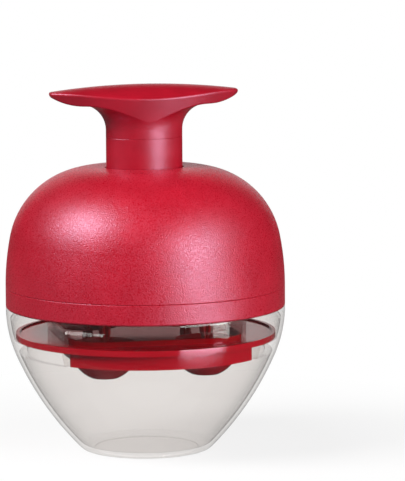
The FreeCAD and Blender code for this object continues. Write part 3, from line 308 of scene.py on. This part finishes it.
def glossy_red(name):
    """Smooth, glossy red moulding, a little wavy and unevenly coloured."""
    nodes = new_material(name)
    shader = nodes.fill(nodes.add("BsdfPrincipled"), Specular_Tint=SHEEN_TINT)
    mottle = nodes.spread(nodes.noise(GLOSSY_MOTTLE, detail=3.0), WHOLE_RANGE)
    nodes.join(nodes.blend(mottle, GLOSSY_DARK, GLOSSY_LIGHT), shader.inputs["Base Color"])
    waves = nodes.noise(GLOSSY_WAVES, detail=2.0)
    wavy = nodes.bump(waves, GLOSSY_WAVE_BUMP, GLOSSY_WAVE_DEPTH)
    nodes.join(wavy, shader.inputs["Normal"])
    rough = nodes.spread(nodes.noise(GLOSSY_SMEARS, detail=3.0), GLOSSY_ROUGHNESS)
    nodes.join(rough, shader.inputs["Roughness"])
    nodes.show(shader)
    return nodes.owner


def clear_plastic(name, tint, haze, solid_share):
    """Thin clear plastic, mostly seen straight through, with a gloss that grows edge on.

    Light reaches what lies behind it as through a tinted sheet.
    """
    nodes = new_material(name)
    solid = nodes.add("BsdfPrincipled")
    nodes.fill(solid, Base_Color=tint, IOR=CLEAR_IOR, Transmission_Weight=1.0)
    smears = nodes.noise(CLEAR_SMEARS, detail=4.0)
    rough = nodes.spread(smears, (haze, haze * CLEAR_SMEAR_HAZE))
    nodes.join(rough, solid.inputs["Roughness"])
    waves = nodes.noise(CLEAR_WAVES, detail=1.0)
    wavy = nodes.bump(waves, CLEAR_WAVE_BUMP, CLEAR_WAVE_DEPTH)
    nodes.join(wavy, solid.inputs["Normal"])
    clear = nodes.fill(nodes.add("BsdfTransparent"), Color=tint)
    gloss = nodes.add("BsdfAnisotropic")
    nodes.join(rough, gloss.inputs["Roughness"])
    nodes.join(wavy, gloss.inputs["Normal"])
    edge = nodes.fill(nodes.add("LayerWeight"), Blend=0.5)
    grazing = nodes.calculate("POWER", edge.outputs["Facing"], CLEAR_GLOSS_POWER)
    shine = nodes.spread(grazing, CLEAR_GLOSS, WHOLE_RANGE)
    body = nodes.mix(solid_share, nodes.mix(shine, clear, gloss), solid)
    shadow = nodes.add("LightPath").outputs["Is Shadow Ray"]
    nodes.show(nodes.mix(shadow, body, clear))
    return nodes.owner


def steel(name, roughness):
    """Plated steel with fine drawing marks."""
    nodes = new_material(name)
    shader = nodes.fill(nodes.add("BsdfPrincipled"), Base_Color=STEEL, Metallic=1.0)
    marks = nodes.noise(STEEL_MARKS, detail=3.0)
    nodes.join(nodes.spread(marks, roughness), shader.inputs["Roughness"])
    drawn = nodes.bump(marks, STEEL_MARK_BUMP, STEEL_MARK_DEPTH)
    nodes.join(drawn, shader.inputs["Normal"])
    nodes.show(shader)
    return nodes.owner


def dress(material, *names):
    """Gives CAD nodes a material of their own."""
    for name in names:
        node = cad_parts[name]
        node.data.materials.clear()
        node.data.materials.append(material)


def wire_middle(turn, radius, bottom, top):
    """The middle of the spring's wire after so many turns, of which the end ones are closed."""
    rise = (top - bottom - 2 * SPRING_CLOSED_RISE) / (SPRING_TURNS - 2)
    if turn < 1:
        height = bottom + SPRING_CLOSED_RISE * turn
    elif turn > SPRING_TURNS - 1:
        height = top - SPRING_CLOSED_RISE * (SPRING_TURNS - turn)
    else:
        height = bottom + SPRING_CLOSED_RISE + rise * (turn - 1)
    angle = 2 * math.pi * turn
    return Vector((radius * math.cos(angle), radius * math.sin(angle), height))


def wire_mesh(middles, thickness):
    """A round wire along points, all but the first and last of which get a ring of corners."""
    mesh = bmesh.new()
    rings = []
    for before, middle, after in zip(middles, middles[1:], middles[2:]):
        outward = Vector((middle.x, middle.y, 0)).normalized()
        way = (after - before).normalized()
        upward = outward.cross(way).normalized()
        ring = []
        for side in range(SPRING_SIDES):
            angle = 2 * math.pi * side / SPRING_SIDES
            offset = outward * math.cos(angle) + upward * math.sin(angle)
            ring.append(mesh.verts.new(middle + offset * thickness / 2))
        rings.append(ring)
    for first, second in zip(rings, rings[1:]):
        for side in range(SPRING_SIDES):
            other = (side + 1) % SPRING_SIDES
            corners = (first[side], first[other], second[other], second[side])
            mesh.faces.new(corners).smooth = True
    mesh.faces.new(rings[0])
    mesh.faces.new(rings[-1])
    bmesh.ops.recalc_face_normals(mesh, faces=mesh.faces)
    data = bpy.data.meshes.new("return_spring_coil")
    mesh.to_mesh(data)
    mesh.free()
    return data


def make_spring(material):
    """The return spring as one coil that stretches between the lid and the plunger."""
    low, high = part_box("return_spring")
    radius = (high[0] - low[0] - SPRING_WIRE) / 2
    bottom = low[2] + SPRING_WIRE / 2
    top = high[2] - SPRING_WIRE / 2
    steps = range(-1, SPRING_TURNS * SPRING_STEPS + 2)
    middles = [wire_middle(step / SPRING_STEPS, radius, bottom, top) for step in steps]
    spring = add_object("return_spring_coil", wire_mesh(middles, SPRING_WIRE))
    spring.data.materials.append(material)
    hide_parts("return_spring")
    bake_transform(spring)


def make_floor():
    """A pale floor that takes the object's shadow and reads as white."""
    bpy.ops.mesh.primitive_plane_add(size=FLOOR_SIZE, location=(0, 0, -FLOOR_DROP))
    floor = bpy.context.object
    floor.name = "floor"
    nodes = new_material("floor_white")
    dim = nodes.fill(nodes.add("BsdfDiffuse"), Color=FLOOR_DIM)
    lit = nodes.fill(nodes.add("BsdfDiffuse"), Color=FLOOR_WHITE)
    glow = nodes.fill(nodes.add("Emission"), Color=WHITE)
    away = nodes.add("VectorMath", operation="LENGTH")
    nodes.join(nodes.coordinates(), away.inputs[0])
    reach = (SHADOW_NEAR, SHADOW_FAR)
    share = nodes.spread(away.outputs["Value"], (FLOOR_GLOW, 1.0), reach)
    nodes.show(nodes.mix(nodes.seen(), dim, nodes.mix(share, lit, glow)))
    floor.data.materials.append(nodes.owner)


def make_backdrop():
    """A white backdrop far behind the object, which the tray and the clear pieces mirror."""
    _, away = camera_side()
    bpy.ops.mesh.primitive_plane_add(size=1.0)
    backdrop = bpy.context.object
    backdrop.name = "backdrop"
    backdrop.scale = (BACKDROP_WIDTH, BACKDROP_HEIGHT, 1.0)
    backdrop.rotation_euler = (math.radians(90), 0, CAMERA_AZIMUTH)
    backdrop.location = away * BACKDROP_DISTANCE + Vector((0, 0, BACKDROP_HEIGHT / 2))
    nodes = new_material("backdrop_white")
    glow = nodes.fill(nodes.add("Emission"), Color=WHITE)
    strength = nodes.spread(nodes.seen(), (BACKDROP_LIGHT, 1.0), WHOLE_RANGE)
    nodes.join(strength, glow.inputs["Strength"])
    nodes.show(glow)
    backdrop.data.materials.append(nodes.owner)


def make_world():
    """A room that is white to the camera and nearly dark to the object."""
    world = bpy.data.worlds.new("studio")
    bpy.context.scene.world = world
    nodes = Nodes(world, "OutputWorld")
    room = nodes.fill(nodes.add("Background"), Color=ROOM_WHITE, Strength=ROOM_LIGHT)
    white = nodes.fill(nodes.add("Background"), Color=WHITE, Strength=1.0)
    nodes.show(nodes.mix(nodes.seen(), room, white))


def add_softbox(name, way, spot, width, height, power):
    """A rectangular lamp at a spot that shines against a direction. The camera can't see it."""
    data = bpy.data.lights.new(name, "AREA")
    data.shape = "RECTANGLE"
    data.size = width
    data.size_y = height
    data.energy = power
    lamp = add_object(name, data)
    lamp.visible_camera = False
    lamp.location = spot
    lamp.rotation_euler = way.to_track_quat("Z", "Y").to_euler()
    return lamp


def side_way(azimuth, elevation):
    """The direction from the object at an azimuth from the camera's own side."""
    turn = CAMERA_AZIMUTH + math.radians(azimuth)
    lift = math.radians(elevation)
    level = math.cos(lift)
    return Vector((math.sin(turn) * level, -math.cos(turn) * level, math.sin(lift)))


def make_lamps():
    for name, azimuth, elevation, width, height, power in LAMPS:
        way = side_way(azimuth, elevation)
        spot = Vector((0, 0, LAMP_AIM_HEIGHT)) + way * LAMP_DISTANCE
        add_softbox(name, way, spot, width, height, power)


def make_low_card():
    """A small bright card that stands on the floor and shows only in mirror images."""
    way = side_way(CARD_AZIMUTH, 0)
    spot = way * CARD_DISTANCE + Vector((0, 0, CARD_HEIGHT / 2))
    card = add_softbox("low_card", way, spot, CARD_WIDTH, CARD_HEIGHT, CARD_POWER)
    card.visible_diffuse = False
    card.visible_transmission = False


def dress_all():
    """Gives every CAD node its material, and draws the spring."""
    # Both reds get painted shade in the grain's pits and a painted sparkle on its tops.
    matte = pebbled_red(
        "red_pebbled", MATTE_DARK_AND_PIT_SHADE, MATTE_LIGHT_AND_SPARKLE,
        grain=2000.0, depth=0.00015, painted_grain_share=0.5, roughness=(0.22, 0.52),
    )
    smooth = pebbled_red(
        "red_fine", FINE_DARK_AND_PIT_SHADE, FINE_LIGHT_AND_SPARKLE,
        grain=2600.0, depth=0.00003, painted_grain_share=0.2, roughness=(0.34, 0.42),
    )
    gloss = glossy_red("red_glossy")
    bowl_clear = clear_plastic("clear_plastic", BOWL_TINT, haze=0.01, solid_share=0.02)
    guard_clear = clear_plastic("smoky_plastic", GUARD_TINT, haze=0.03, solid_share=0.06)
    screw_steel = steel("screw_steel", roughness=(0.2, 0.35))
    spring_steel = steel("spring_steel", roughness=(0.15, 0.3))
    dress(matte, "dome_shell", "lid_band")
    dress(smooth, "plunger_stem", "press_handle")
    dress(gloss, "cherry_tray", "stripper_plate", "needle_carrier", "needle_clamp")
    dress(gloss, "needle_1", "needle_2", "needle_3", "needle_4")
    dress(bowl_clear, "pit_bowl")
    dress(guard_clear, "splash_guard")
    dress(screw_steel, "dome_screws", "handle_screws", "clamp_screws")
    dress(spring_steel, "return_spring")
    make_spring(spring_steel)


make_camera()
dress_all()
make_floor()
make_backdrop()
make_world()
make_lamps()
make_low_card()

scene = bpy.context.scene
scene.view_settings.view_transform = "Standard"
